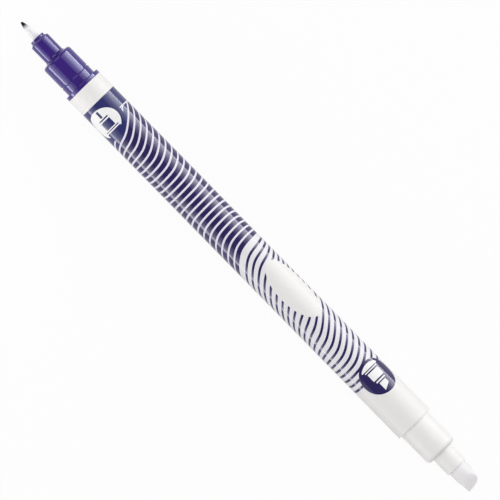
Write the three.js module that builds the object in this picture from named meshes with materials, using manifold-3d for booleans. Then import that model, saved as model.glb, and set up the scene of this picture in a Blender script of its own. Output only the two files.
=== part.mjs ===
// Double-ended ink eraser pen, shown open, with both caps off.
//
// The pen lies on its side along X. The fine rewriting nib points to -X and the eraser's chisel nib to +X.
// The origin is under the middle of the pen's length, on the surface that the barrel rests on. +Z is up.
// One printed tube holds two fibre reservoirs, with a plug between them. A stepped nose is pressed into
// each end and holds a nib, whose tail stands in the reservoir behind it. All sizes are in millimetres.

import * as THREE from "three";
import { mergeVertices } from "three/addons/utils/BufferGeometryUtils.js";
import Module from "manifold-3d";

const wasm = await Module();
wasm.setup();

// Barrel
const barrelDiameter = 9.4;
const barrelLength = 104.6;
const barrelWall = 0.9;
const rimChamfer = 0.12; // on the outer rims of the tube and of the flange against it
const mouthChamfer = 0.12; // lead-in inside the rewriter's mouth
const noseRecessDepth = 0.3; // in the eraser's mouth, for the foot of the white nose
const ribCount = 6;
const ribWidth = 0.6;
const ribHeight = 0.4;

// Clearances
const fitClearance = 0.05; // radial, between pieces pressed into each other
const looseClearance = 0.1; // radial, between the ribs and a reservoir
const endClearance = 0.1; // along the axis, between a piece and its stop

// Spigots that join both noses to the barrel, each with a snap bead
const spigotLength = 9;
const spigotChamfer = 0.4;
const snapBeadHeight = 0.12;
const snapBeadWidth = 0.7;
const snapBeadSetback = 2.6; // from the barrel's end to the middle of the bead

// Rewriter nose
const flangeThickness = 0.9;
const rewriterNoseDiameter = 7.8;
const rewriterNoseLength = 7.55;
const rewriterNoseWall = 0.9;
const rewriterShoulderLength = 1.3;
const rewriterShoulderFillet = 0.65; // hollow rounding at the foot of the shoulder
const rewriterFrontDiameter = 4.9;
const rewriterFrontLength = 4.4;
const frontChamferLength = 0.5;
const lipLength = 0.55;
const lipWall = 0.8;
const lipChamfer = 0.12;
const capGrooveWidth = 0.25;
const capGrooveDepth = 0.15;
const capGrooveSetback = 2.2; // from the flange to the middle of the groove
const capBeadHeight = 0.08;
const capBeadWidth = 0.7;
const nibGuideWall = 0.8;
const nibGuideLength = 6; // behind the shoulder
const guideFluteCount = 4;
const guideFluteWidth = 0.45;
const guideFluteDepth = 0.3;

// Rewriter nib
const fineNibDiameter = 1.9;
const fineNibProtrusion = 4.85;
const fineNibTipRadius = 0.3;
const fineNibConeLength = 2;
const fineNibConeDiameter = 1.55; // where the cone meets the slightly tapered shank
const fineNibTailLength = 1.2; // pointed part of the tail
const nibPenetration = 4.5; // of each nib's tail into its reservoir

// Eraser nose
const eraserNoseDiameter = 8.1;
const eraserNoseLength = 7.75;
const eraserShoulderLength = 0.95;
const eraserFrontRim = 0.18; // width of the flat ring round the sleeve
const eraserFrontWall = 1.7; // along the axis, round the sleeve

// Eraser nib and its sleeve
const chiselNibDiameter = 4.5;
const chiselNibProtrusion = 5.9;
const sleeveWall = 0.35;
const sleeveProtrusion = 4.75;
const sleeveChamfer = 0.2;
const sleeveFlangeThickness = 0.8;
const sleeveFlangeHeight = 0.25;
const sleeveTailLength = 5; // behind the flange
const sleeveFluteCount = 6;
const sleeveFluteWidth = 0.5;
const sleeveFluteDepth = 0.15;
const chiselFlatsLength = 2.6; // from the writing edge back to where the flats run out
const chiselEdgeThickness = 0.9;
const chiselEdgeWidth = 3.4;
const chiselEdgeOffset = 0.2; // of the edge's middle towards the long corner
const chiselEdgeSlant = 0.8; // how far the long corner stands past the short one
const chiselCorner = 0.35;
const chiselTaperLength = 4;
const chiselTailChamfer = 0.8;

// Reservoirs and the plug between them
const filmThickness = 0.15;
const plugLength = 6;
const plugWall = 0.8;
const plugWeb = 1.2;

// Facets round the axis. Both counts divide by four, so each turned piece has a flat facet underneath.
const wideSides = 36;
const nibSides = 24;
const cornerSteps = 5; // straight steps in a rounded corner

// Places along the axis
const rewriterReach =
  flangeThickness + rewriterNoseLength + rewriterShoulderLength + rewriterFrontLength +
  frontChamferLength + lipLength + fineNibProtrusion;
const eraserReach =
  eraserNoseLength + eraserShoulderLength + sleeveProtrusion + chiselNibProtrusion;
const overallLength = rewriterReach + barrelLength + eraserReach;
const rewriterTip = -overallLength / 2;
const eraserTip = overallLength / 2;
const barrelStart = rewriterTip + rewriterReach;
const barrelEnd = barrelStart + barrelLength;
const barrelMiddle = (barrelStart + barrelEnd) / 2;
const noseRecess = barrelEnd - noseRecessDepth;
const rewriterSpigotEnd = barrelStart + spigotLength;
const eraserSpigotEnd = barrelEnd - spigotLength;
const plugStart = barrelMiddle - plugLength / 2;
const plugEnd = barrelMiddle + plugLength / 2;
const sleeveMouth = eraserTip - chiselNibProtrusion;
const eraserNoseFront = sleeveMouth - sleeveProtrusion;

// Radii
const barrelRadius = barrelDiameter / 2;
const boreRadius = barrelRadius - barrelWall;
const seatRadius = boreRadius - ribHeight; // inside the ribs, and of the plug's seat
const spigotRadius = boreRadius - fitClearance;
const plugRadius = seatRadius - fitClearance;
const reservoirRadius = seatRadius - looseClearance;
const filmInnerRadius = reservoirRadius - filmThickness;
const coreRadius = filmInnerRadius - fitClearance;
const fineNibRadius = fineNibDiameter / 2;
const fineBoreRadius = fineNibRadius + fitClearance;
const chiselNibRadius = chiselNibDiameter / 2;
const sleeveBoreRadius = chiselNibRadius + fitClearance;
const sleeveRadius = sleeveBoreRadius + sleeveWall;
const sleeveHoleRadius = sleeveRadius + fitClearance;
const eraserNoseRadius = eraserNoseDiameter / 2;
const noseRecessRadius = eraserNoseRadius + fitClearance;
const sleeveFlangeRadius = sleeveRadius + sleeveFlangeHeight;
const eraserCavityRadius = sleeveFlangeRadius + fitClearance;
const axisHeight = barrelRadius * Math.cos(Math.PI / wideSides);

// Colours, roughness and metalness of each material
const finishes = {
  whitePlastic: { color: "#f2f1ef", roughness: 0.28, metalness: 0 },
  navyPlastic: { color: "#322c7c", roughness: 0.22, metalness: 0 },
  plugPlastic: { color: "#dcdcd8", roughness: 0.5, metalness: 0 },
  rewriterFibre: { color: "#d9dade", roughness: 0.8, metalness: 0 },
  eraserFelt: { color: "#ecebea", roughness: 0.9, metalness: 0 },
  inkFibre: { color: "#27246e", roughness: 0.95, metalness: 0 },
  eraserFibre: { color: "#efeede", roughness: 0.95, metalness: 0 },
  film: { color: "#e9edf2", roughness: 0.2, metalness: 0 },
};

// An outline of [x, radius] points, turned about the pen's axis. Along the outside, x goes up.
function turned(outline, sides = wideSides) {
  const points = outline.map(([x, radius]) => new THREE.Vector2(radius, x));
  return new THREE.LatheGeometry(points, sides, Math.PI / sides).rotateZ(-Math.PI / 2);
}

// A rounded corner in an outline, from a point where it runs along the axis to one where it runs across.
function roundedCorner([alongX, alongRadius], [acrossX, acrossRadius]) {
  return Array.from({ length: cornerSteps + 1 }, (_, step) => {
    const angle = (Math.PI / 2) * (step / cornerSteps);
    return [
      alongX + (acrossX - alongX) * Math.sin(angle),
      acrossRadius + (alongRadius - acrossRadius) * Math.cos(angle),
    ];
  });
}

// The hollow rounding at the foot of a shoulder, as far as where the shoulder rises straight.
function hollowCorner([footX, footRadius], size) {
  return Array.from({ length: cornerSteps + 1 }, (_, step) => {
    const angle = (Math.PI / 2) * (step / cornerSteps);
    return [footX + size * Math.sin(angle), footRadius + size * (1 - Math.cos(angle))];
  });
}

// Bars of rectangular section, set evenly round the axis.
function radialBars(count, width, [fromX, toX], [innerRadius, outerRadius]) {
  return Array.from({ length: count }, (_, index) => {
    const bar = new THREE.BoxGeometry(toX - fromX, width, outerRadius - innerRadius);
    bar.translate((fromX + toX) / 2, 0, (innerRadius + outerRadius) / 2);
    return bar.rotateX((2 * Math.PI * (index + 0.5)) / count);
  });
}

// A flat outline of drawn points, extruded through the pen's whole width about the axis.
function sideToSide(shape) {
  const width = 2 * barrelDiameter;
  const block = new THREE.ExtrudeGeometry(shape, {
    depth: width,
    bevelEnabled: false,
    curveSegments: cornerSteps,
  });
  return block.translate(0, 0, -width / 2);
}

function solidOf(geometry) {
  const bare = geometry.clone();
  bare.deleteAttribute("normal");
  bare.deleteAttribute("uv");
  const merged = mergeVertices(bare, 1e-4);
  return new wasm.Manifold(
    new wasm.Mesh({
      numProp: 3,
      vertProperties: merged.attributes.position.array,
      triVerts: new Uint32Array(merged.index.array),
    }),
  );
}

function geometryOf(solid) {
  const mesh = solid.getMesh();
  const shared = new THREE.BufferGeometry();
  shared.setAttribute("position", new THREE.BufferAttribute(mesh.vertProperties, mesh.numProp));
  shared.setIndex(new THREE.BufferAttribute(mesh.triVerts, 1));
  const geometry = shared.toNonIndexed();
  geometry.computeVertexNormals();
  return geometry;
}

function joined(geometry, additions) {
  return geometryOf(additions.reduce((solid, item) => solid.add(solidOf(item)), solidOf(geometry)));
}

function cut(geometry, cutters) {
  return geometryOf(cutters.reduce((solid, item) => solid.subtract(solidOf(item)), solidOf(geometry)));
}

function trimmedTo(geometry, envelopes) {
  return geometryOf(envelopes.reduce((solid, item) => solid.intersect(solidOf(item)), solidOf(geometry)));
}

// The tube: a snap groove behind each mouth, a narrower seat for the plug in the middle, and ribs between
// them that keep the reservoirs centred. The eraser's mouth has a recess for the foot of the white nose.
function barrelGeometry() {
  const grooveRadius = boreRadius + snapBeadHeight;
  const grooveHalf = snapBeadWidth / 2 + endClearance;
  const snapGroove = (end, inward) => [
    [end + inward * (snapBeadSetback - grooveHalf), boreRadius],
    [end + inward * (snapBeadSetback - grooveHalf + snapBeadHeight), grooveRadius],
    [end + inward * (snapBeadSetback + grooveHalf - snapBeadHeight), grooveRadius],
    [end + inward * (snapBeadSetback + grooveHalf), boreRadius],
  ];
  const bore = [
    [barrelEnd, noseRecessRadius],
    [noseRecess, noseRecessRadius],
    [noseRecess, boreRadius],
    ...snapGroove(barrelEnd, -1),
    [plugEnd, boreRadius],
    [plugEnd, seatRadius],
    [plugStart, seatRadius],
    [plugStart, boreRadius],
    ...snapGroove(barrelStart, 1).reverse(),
    [barrelStart + mouthChamfer, boreRadius],
    [barrelStart, boreRadius + mouthChamfer],
  ];
  const tube = turned([
    [barrelStart, barrelRadius - rimChamfer],
    [barrelStart + rimChamfer, barrelRadius],
    [barrelEnd - rimChamfer, barrelRadius],
    [barrelEnd, barrelRadius - rimChamfer],
    ...bore,
    [barrelStart, barrelRadius - rimChamfer],
  ]);
  const rootedHeight = [seatRadius, boreRadius + barrelWall / 2];
  const ribRuns = [
    [rewriterSpigotEnd + endClearance, barrelMiddle],
    [barrelMiddle, eraserSpigotEnd - endClearance],
  ];
  return joined(tube, ribRuns.flatMap((run) => radialBars(ribCount, ribWidth, run, rootedHeight)));
}

// The stopper in the barrel's seat: a web with a rim each way, against which the reservoirs stand.
function plugGeometry() {
  const rimRadius = plugRadius - plugWall;
  const chamfer = spigotChamfer / 2;
  return turned([
    [barrelMiddle - plugWeb / 2, 0],
    [barrelMiddle - plugWeb / 2, rimRadius],
    [plugStart, rimRadius],
    [plugStart, plugRadius - chamfer],
    [plugStart + chamfer, plugRadius],
    [plugEnd - chamfer, plugRadius],
    [plugEnd, plugRadius - chamfer],
    [plugEnd, rimRadius],
    [barrelMiddle + plugWeb / 2, rimRadius],
    [barrelMiddle + plugWeb / 2, 0],
  ]);
}

// The outside of a spigot from its snap bead to its end, which lies inwards, or +1 or -1 along X.
function spigotOutline(end, inward) {
  const beadRadius = spigotRadius + snapBeadHeight;
  const beadHalf = snapBeadWidth / 2;
  return [
    [end + inward * (snapBeadSetback - beadHalf), spigotRadius],
    [end + inward * (snapBeadSetback - beadHalf + snapBeadHeight), beadRadius],
    [end + inward * (snapBeadSetback + beadHalf - snapBeadHeight), beadRadius],
    [end + inward * (snapBeadSetback + beadHalf), spigotRadius],
    [end + inward * (spigotLength - spigotChamfer), spigotRadius],
    [end + inward * spigotLength, spigotRadius - spigotChamfer],
  ];
}

// The navy nose: lip, slim front, shoulder, body with the cap's groove and bead, flange and spigot.
// Its nib guide has flutes inside, which let air back into the barrel.
function rewriterNoseGeometry() {
  const noseRadius = rewriterNoseDiameter / 2;
  const frontRadius = rewriterFrontDiameter / 2;
  const lipRadius = fineBoreRadius + lipWall;
  const guideRadius = fineBoreRadius + nibGuideWall;
  const cavityRadius = Math.min(noseRadius, spigotRadius) - rewriterNoseWall;
  const flangeFront = barrelStart - flangeThickness;
  const bodyStart = flangeFront - rewriterNoseLength;
  const shoulderStart = bodyStart - rewriterShoulderLength;
  const frontStart = shoulderStart - rewriterFrontLength;
  const lipBack = frontStart - frontChamferLength;
  const lipFront = lipBack - lipLength;
  const guideEnd = bodyStart + nibGuideLength;
  const grooveFront = flangeFront - capGrooveSetback - capGrooveWidth / 2;
  const grooveBack = grooveFront + capGrooveWidth;
  const hollow = hollowCorner([shoulderStart, frontRadius], rewriterShoulderFillet);
  const shoulder = roundedCorner([bodyStart, noseRadius], hollow[cornerSteps]).reverse();
  const shell = turned([
    [lipFront, fineBoreRadius],
    [lipFront, lipRadius - lipChamfer],
    [lipFront + lipChamfer, lipRadius],
    [lipBack, lipRadius],
    [frontStart, frontRadius],
    ...hollow,
    ...shoulder.slice(1),
    [grooveFront, noseRadius],
    [grooveFront, noseRadius - capGrooveDepth],
    [grooveBack, noseRadius - capGrooveDepth],
    [grooveBack, noseRadius + capBeadHeight / 2],
    [grooveBack + capBeadWidth / 3, noseRadius + capBeadHeight],
    [grooveBack + capBeadWidth, noseRadius],
    [flangeFront, noseRadius],
    [flangeFront, barrelRadius - rimChamfer],
    [flangeFront + rimChamfer, barrelRadius],
    [barrelStart - rimChamfer, barrelRadius],
    [barrelStart, barrelRadius - rimChamfer],
    [barrelStart, spigotRadius],
    ...spigotOutline(barrelStart, 1),
    [rewriterSpigotEnd, cavityRadius],
    [bodyStart, cavityRadius],
    [bodyStart, guideRadius],
    [guideEnd, guideRadius],
    [guideEnd, fineBoreRadius],
    [lipFront, fineBoreRadius],
  ]);
  const fluteRun = [frontStart, guideEnd + lipLength];
  const fluteSpan = [0, fineBoreRadius + guideFluteDepth];
  return cut(shell, radialBars(guideFluteCount, guideFluteWidth, fluteRun, fluteSpan));
}

// The fibre nib of the rewriting end, from its rounded writing point to its tail in the reservoir.
function rewriterNibGeometry() {
  const coneRadius = fineNibConeDiameter / 2;
  const tailEnd = rewriterSpigotEnd + endClearance + nibPenetration;
  const tipBack = [rewriterTip + fineNibTipRadius, fineNibTipRadius];
  return turned(
    [
      ...roundedCorner(tipBack, [rewriterTip, 0]).reverse(),
      [rewriterTip + fineNibConeLength, coneRadius],
      [rewriterTip + fineNibProtrusion, fineNibRadius],
      [tailEnd - fineNibTailLength, fineNibRadius],
      [tailEnd, fineNibRadius / 3],
      [tailEnd, 0],
    ],
    nibSides,
  );
}

// The white nose: spigot, body and shoulder. The sleeve comes through its front from inside.
function eraserNoseGeometry() {
  const shoulderStart = barrelEnd + eraserNoseLength;
  const frontRing = [eraserNoseFront, sleeveHoleRadius + eraserFrontRim];
  const cavityEnd = eraserNoseFront - eraserFrontWall;
  return turned([
    [eraserSpigotEnd, eraserCavityRadius],
    ...spigotOutline(barrelEnd, -1).reverse(),
    [noseRecess, spigotRadius],
    [noseRecess, eraserNoseRadius],
    ...roundedCorner([shoulderStart, eraserNoseRadius], frontRing),
    [eraserNoseFront, sleeveHoleRadius],
    [cavityEnd, sleeveHoleRadius],
    [cavityEnd, eraserCavityRadius],
    [eraserSpigotEnd, eraserCavityRadius],
  ]);
}

// The tube that grips the eraser nib, with its flange against the inside of the nose's front wall.
function sleeveGeometry() {
  const flangeFront = eraserNoseFront - eraserFrontWall - endClearance;
  const flangeBack = flangeFront - sleeveFlangeThickness;
  const tailEnd = flangeBack - sleeveTailLength;
  const shell = turned([
    [tailEnd, sleeveBoreRadius],
    [tailEnd, sleeveRadius],
    [flangeBack, sleeveRadius],
    [flangeBack, sleeveFlangeRadius],
    [flangeFront, sleeveFlangeRadius],
    [flangeFront, sleeveRadius],
    [sleeveMouth - sleeveChamfer, sleeveRadius],
    [sleeveMouth, sleeveRadius - sleeveChamfer],
    [sleeveMouth, sleeveBoreRadius],
    [tailEnd, sleeveBoreRadius],
  ]);
  const fluteRun = [tailEnd - sleeveChamfer, flangeFront];
  const fluteSpan = [0, sleeveBoreRadius + sleeveFluteDepth];
  return cut(shell, radialBars(sleeveFluteCount, sleeveFluteWidth, fluteRun, fluteSpan));
}

// The felt nib: a round rod, cut to a wedge by two flats and narrowed to a slanted writing edge.
function eraserNibGeometry() {
  const tailEnd = eraserSpigotEnd - endClearance - nibPenetration;
  const back = tailEnd - chiselTailChamfer;
  const clear = chiselNibDiameter; // from the axis, outside the rod
  const halfThickness = chiselEdgeThickness / 2;
  const longSide = chiselEdgeWidth / 2 + chiselEdgeOffset;
  const shortSide = chiselEdgeWidth / 2 - chiselEdgeOffset;
  const flatsStart = eraserTip - chiselFlatsLength;
  const shortCorner = eraserTip - chiselEdgeSlant;
  const taperStart = eraserTip - chiselTaperLength;

  const rod = turned([
    [tailEnd, 0],
    [tailEnd, chiselNibRadius - chiselTailChamfer],
    [tailEnd + chiselTailChamfer, chiselNibRadius],
    [eraserTip, chiselNibRadius],
    [eraserTip, 0],
  ]);

  // Seen from the side, the flats and the blunt edge between them
  const wedge = new THREE.Shape();
  wedge.moveTo(back, -clear);
  wedge.lineTo(flatsStart, -clear);
  wedge.lineTo(flatsStart, -chiselNibRadius);
  wedge.lineTo(eraserTip, -halfThickness);
  wedge.lineTo(eraserTip, halfThickness);
  wedge.lineTo(flatsStart, chiselNibRadius);
  wedge.lineTo(flatsStart, clear);
  wedge.lineTo(back, clear);

  // Seen from above, the sides drawn in to the slanted edge, whose long corner is towards -Y
  const blade = new THREE.Shape();
  blade.moveTo(back, -clear);
  blade.lineTo(taperStart, -clear);
  blade.lineTo(taperStart, -chiselNibRadius);
  blade.lineTo(eraserTip - chiselCorner, -longSide);
  blade.quadraticCurveTo(eraserTip, -longSide, eraserTip, -longSide + chiselCorner);
  blade.lineTo(shortCorner, shortSide - chiselCorner);
  blade.quadraticCurveTo(shortCorner, shortSide, shortCorner - chiselCorner, shortSide + chiselCorner / 2);
  blade.quadraticCurveTo(taperStart + chiselTaperLength / 2, chiselNibRadius, taperStart, chiselNibRadius);
  blade.lineTo(taperStart, clear);
  blade.lineTo(back, clear);

  return trimmedTo(rod, [sideToSide(wedge).rotateX(Math.PI / 2), sideToSide(blade)]);
}

// A fibre rod with a blind hole for a nib's tail. The hole runs inwards, which is +1 or -1 along X.
function reservoirGeometry(face, farEnd, holeRadius, inward) {
  const holeEnd = face + inward * (nibPenetration + endClearance);
  const outline = [
    [holeEnd + inward * holeRadius, 0],
    [holeEnd, holeRadius],
    [face, holeRadius],
    [face, coreRadius],
    [farEnd, coreRadius],
    [farEnd, 0],
  ];
  return turned(inward > 0 ? outline : outline.reverse());
}

function filmGeometry(start, end) {
  return turned([
    [start, filmInnerRadius],
    [start, reservoirRadius],
    [end, reservoirRadius],
    [end, filmInnerRadius],
    [start, filmInnerRadius],
  ]);
}

const inkStart = rewriterSpigotEnd + endClearance;
const inkEnd = plugStart - endClearance;
const eraserStart = plugEnd + endClearance;
const eraserEnd = eraserSpigotEnd - endClearance;

const pieces = [
  ["barrel", barrelGeometry(), "whitePlastic"],
  ["centre_plug", plugGeometry(), "plugPlastic"],
  ["rewriter_nose", rewriterNoseGeometry(), "navyPlastic"],
  ["rewriter_nib", rewriterNibGeometry(), "rewriterFibre"],
  ["ink_reservoir", reservoirGeometry(inkStart, inkEnd, fineBoreRadius, 1), "inkFibre"],
  ["ink_reservoir_film", filmGeometry(inkStart, inkEnd), "film"],
  ["eraser_nose", eraserNoseGeometry(), "whitePlastic"],
  ["eraser_nib_sleeve", sleeveGeometry(), "whitePlastic"],
  ["eraser_nib", eraserNibGeometry(), "eraserFelt"],
  ["eraser_reservoir", reservoirGeometry(eraserEnd, eraserStart, sleeveBoreRadius, -1), "eraserFibre"],
  ["eraser_reservoir_film", filmGeometry(eraserStart, eraserEnd), "film"],
];

const pen = new THREE.Group();
pen.name = "ink_eraser_pen";
pen.position.z = axisHeight;
for (const [name, geometry, finish] of pieces) {
  const mesh = new THREE.Mesh(geometry, new THREE.MeshStandardMaterial(finishes[finish]));
  mesh.name = name;
  pen.add(mesh);
}

export default pen;
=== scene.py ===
"""Looks of a double-ended ink eraser pen, built over its fixed frame.

The pen lies along X on the floor, with its fine rewriting nib towards -X. Lengths are in metres, but the
materials count in millimetres. The frame gives where each piece starts and ends. The outside pieces are
made here, with the corners that mouldings have and a felt chisel nib that is cut to shape. The plug and
the reservoirs inside are the frame's own, with new materials.
"""

import math

import bmesh
import bpy
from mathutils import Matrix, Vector


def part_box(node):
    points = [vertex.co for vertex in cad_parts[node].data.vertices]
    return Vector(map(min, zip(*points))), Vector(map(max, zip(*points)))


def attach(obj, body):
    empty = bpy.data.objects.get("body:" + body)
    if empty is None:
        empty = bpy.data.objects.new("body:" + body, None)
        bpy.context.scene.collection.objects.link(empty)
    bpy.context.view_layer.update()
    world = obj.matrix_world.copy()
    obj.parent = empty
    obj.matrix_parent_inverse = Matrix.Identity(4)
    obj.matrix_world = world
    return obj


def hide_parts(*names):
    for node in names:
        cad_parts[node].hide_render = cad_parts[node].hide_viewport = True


bl_info = {
    "name": "Ink eraser pen",
    "version": (1, 0, 0),
    "blender": (4, 5, 0),
    "location": "View3D > Sidebar > Eraser Pen",
    "description": "Builds the looks of a double-ended ink eraser pen over its fixed frame",
    "category": "Object",
}

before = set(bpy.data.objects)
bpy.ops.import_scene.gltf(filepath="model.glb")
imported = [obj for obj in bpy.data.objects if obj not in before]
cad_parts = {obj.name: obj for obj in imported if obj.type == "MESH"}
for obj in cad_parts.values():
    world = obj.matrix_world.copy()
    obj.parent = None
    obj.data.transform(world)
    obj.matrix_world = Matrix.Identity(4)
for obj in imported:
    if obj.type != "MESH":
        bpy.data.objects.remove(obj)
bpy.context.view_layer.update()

MM = 0.001
SEGMENTS = 128  # round the axis of a turned piece
TURNS = [2 * math.pi * index / SEGMENTS for index in range(SEGMENTS)]
ON_AXIS = 1e-7  # a radius below this stands for a point on the axis
FRAME_SIDES = 36  # the frame's turned solids are polygons, and these pieces lie inside them
INSCRIBED = math.cos(math.pi / FRAME_SIDES)
SHARP_ANGLE = math.radians(32)
FELT_SHARP_ANGLE = math.radians(50)

# Roundings of moulded edges, from a crisp one to a soft one
CRISP = 0.03 * MM
FINE = 0.05 * MM
EASED = 0.06 * MM
SMOOTH = 0.08 * MM
SOFT = 0.1 * MM

# Noise in the glossy plastics, as the size of its spots and its detail: faint clouds, the grain of the
# gloss and orange peel
GLOSS_NOISE = ((2.4 * MM, 2.0), (0.12 * MM, 2.0), (0.5 * MM, 1.0))

BARREL_LOW, BARREL_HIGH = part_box("barrel")
AXIS_HEIGHT = (BARREL_LOW.z + BARREL_HIGH.z) / 2
BARREL_RADIUS = (BARREL_HIGH.z - BARREL_LOW.z) / 2

# The photograph's frame, in pixels, and where the middle of the pen lies in it
PHOTO_WIDTH = 500
PEN_MIDDLE = (248.4, 254.2)
PEN_ANGLE = math.radians(45.6)
METRES_PER_PIXEL = 0.2217 * MM
LENS = 1000.0  # focal length and sensor in millimetres, so long that the view has next to no perspective
SENSOR = 36.0

# The softboxes: name, compass angle from +X, lowest and highest angle above the floor in degrees, length
# in metres, radiance. Those at the pen's ends lift its top without a highlight along it.
SOFTBOXES = (
    ("upper strip", 90, 0, 5, 0.3, 13.0),
    ("upper box", 90, 5, 21, 0.3, 5.9),
    ("upper fill", 90, 21, 32, 0.3, 4.4),
    ("upper soft fill", 90, 32, 45, 0.3, 2.3),
    ("upper top", 90, 45, 62, 0.3, 1.1),
    ("lower strip", -90, 0, 9, 0.3, 8.6),
    ("lower box", -90, 9, 15, 0.3, 4.6),
    ("lower fill", -90, 15, 32, 0.3, 2.0),
    ("lower top", -90, 32, 50, 0.3, 0.9),
    ("rewriter end", 180, 38, 70, 0.45, 1.8),
    ("eraser end", 0, 38, 70, 0.45, 1.8),
)
SOFTBOX_DISTANCE = 0.65
WORLD_LIGHT = 0.23

# A small lamp close to the rewriting end lifts the lower side of the white ring and of the left badge
NEAR_LAMP_TARGET = Vector((-0.05, 0.0, AXIS_HEIGHT))
NEAR_LAMP_COMPASS = math.radians(-120)
NEAR_LAMP_ABOVE = math.radians(12)
NEAR_LAMP_DISTANCE = 0.08
NEAR_LAMP_SIZE = 0.03
NEAR_LAMP_RADIANCE = 5.0

# The floor: what the camera and reflections see is nearly white, and the light that it gives back is less
FLOOR_HALF = 6.0
FLOOR_DROP = 0.01 * MM  # below the pen, so that the two don't touch
FLOOR_SPOTS = 40 * MM
FLOOR_SHADES = ((0.33, 0.33, 0.33), (0.37, 0.37, 0.37))
FLOOR_SEEN_SHADE = (0.92, 0.92, 0.92)
FLOOR_GLOW = 0.94


def place(name, description, millimetres, **limits):
    """A place along the pen from its middle, held in metres."""
    return bpy.props.FloatProperty(
        name=name,
        description=description,
        default=millimetres * MM,
        unit="LENGTH",
        subtype="DISTANCE",
        precision=5,
        **limits,
    )


def length(name, description, millimetres):
    """A size that the user can change, held in metres."""
    return place(name, description, millimetres, min=0.0)


def rotation(name, description, degrees):
    """An angle round the pen."""
    return bpy.props.FloatProperty(
        name=name,
        description=description,
        default=math.radians(degrees),
        unit="ROTATION",
        subtype="ANGLE",
    )


def share(name, description, value):
    """A number from 0 to 1, such as a roughness."""
    return bpy.props.FloatProperty(
        name=name, description=description, default=value, min=0.0, max=1.0, subtype="FACTOR"
    )


def linear(value):
    """A colour's channel from 0 to 255, as a screen shows it, in linear light."""
    value /= 255
    return value / 12.92 if value <= 0.04045 else ((value + 0.055) / 1.055) ** 2.4


def colour(name, description, *channels):
    """A colour, given as a screen shows it."""
    return bpy.props.FloatVectorProperty(
        name=name,
        description=description,
        default=tuple(linear(channel) for channel in channels),
        min=0.0,
        max=1.0,
        size=3,
        subtype="COLOR",
    )


class BarrelSizes(bpy.types.PropertyGroup):
    """Sizes of the tube, inside and at its ends."""

    wall: length("Wall", "Thickness of the tube's wall", 0.9)
    rim: length("Rim rounding", "Rounding of the tube's outer rims", 0.14)
    mouth: length("Mouth rounding", "Lead-in inside the rewriting end", 0.12)
    recess_depth: length("Recess depth", "Depth of the seat for the white nose's foot", 0.3)
    recess_diameter: length("Recess diameter", "Width of the seat for the white nose's foot", 8.2)
    groove_setback: length("Groove setback", "From each end to the middle of its snap groove", 2.6)
    groove_width: length("Groove width", "Width of a snap groove", 0.9)
    groove_depth: length("Groove depth", "Depth of a snap groove", 0.12)
    seat_diameter: length("Seat diameter", "Width inside the ribs and the plug's seat", 6.8)
    seat_length: length("Seat length", "Length of the plug's seat", 6.0)
    rib_width: length("Rib width", "Width of a rib that keeps the reservoirs centred", 0.6)
    rib_setback: length("Rib setback", "From each end to where the ribs start", 9.1)


class NavyNoseSizes(bpy.types.PropertyGroup):
    """Sizes of the stepped nose at the rewriting end."""

    spigot_length: length("Spigot length", "Part that is pressed into the barrel", 9.0)
    spigot_diameter: length("Spigot diameter", "Width of that part", 7.5)
    spigot_chamfer: length("Spigot chamfer", "Lead-in at the spigot's end", 0.4)
    bead_height: length("Snap bead height", "How far the snap bead stands out", 0.12)
    bead_width: length("Snap bead width", "Width of the snap bead", 0.7)
    bead_setback: length("Snap bead setback", "From the barrel's end to the middle of the bead", 2.6)
    flange: length("Flange", "Thickness of the flange against the barrel", 0.9)
    body_diameter: length("Body diameter", "Width of the part that the cap goes over", 7.8)
    body_length: length("Body length", "Length of the part that the cap goes over", 7.55)
    shoulder_length: length("Shoulder length", "Length of the rounded shoulder", 1.3)
    shoulder_foot: length("Shoulder foot", "Hollow rounding where the shoulder meets the front", 0.65)
    front_diameter: length("Front diameter", "Width of the slim front", 4.9)
    front_length: length("Front length", "Length of the slim front", 4.4)
    front_chamfer: length("Front chamfer", "Length of the bevel behind the lip", 0.5)
    lip_diameter: length("Lip diameter", "Width of the lip round the nib", 3.6)
    lip_rounding: length("Lip rounding", "Rounding of the lip's edge", 0.12)
    bore_diameter: length("Bore diameter", "Width of the hole for the nib", 2.0)
    guide_diameter: length("Guide diameter", "Width of the tube inside that guides the nib", 3.6)
    guide_length: length("Guide length", "Length of that tube behind the shoulder", 6.0)
    cavity_diameter: length("Cavity diameter", "Width inside the body", 5.7)
    groove_setback: length("Groove setback", "From the flange to the middle of the cap's groove", 2.2)
    groove_width: length("Groove width", "Width of the cap's groove", 0.25)
    groove_depth: length("Groove depth", "Depth of the cap's groove", 0.15)
    cap_bead_height: length("Cap bead height", "How far the cap's bead stands out", 0.05)
    cap_bead_width: length("Cap bead width", "Width of the cap's bead", 0.7)
    edge: length("Edge rounding", "Rounding of the outer edges", 0.1)


class FineNibSizes(bpy.types.PropertyGroup):
    """Sizes of the fibre nib."""

    diameter: length("Diameter", "Width of the nib in its guide", 1.9)
    reach: length("Reach", "How far the nib stands out of the lip", 4.85)
    tip_radius: length("Tip radius", "Rounding of the writing point", 0.3)
    cone_length: length("Cone length", "Length of the writing point", 2.0)
    cone_diameter: length("Cone diameter", "Width where the point meets the shank", 1.55)
    cone_foot: length("Cone foot", "Rounding where the point meets the shank", 0.5)
    tail_length: length("Tail length", "Pointed part of the tail in the reservoir", 1.2)
    tail_rounding: length("Tail rounding", "Rounding where the tail starts to taper", 0.2)
    ink_length: length("Ink length", "Length of the point that the ink has darkened", 0.85)
    ink_fade: length("Ink fade", "Length over which the ink fades out", 0.95)


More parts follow.
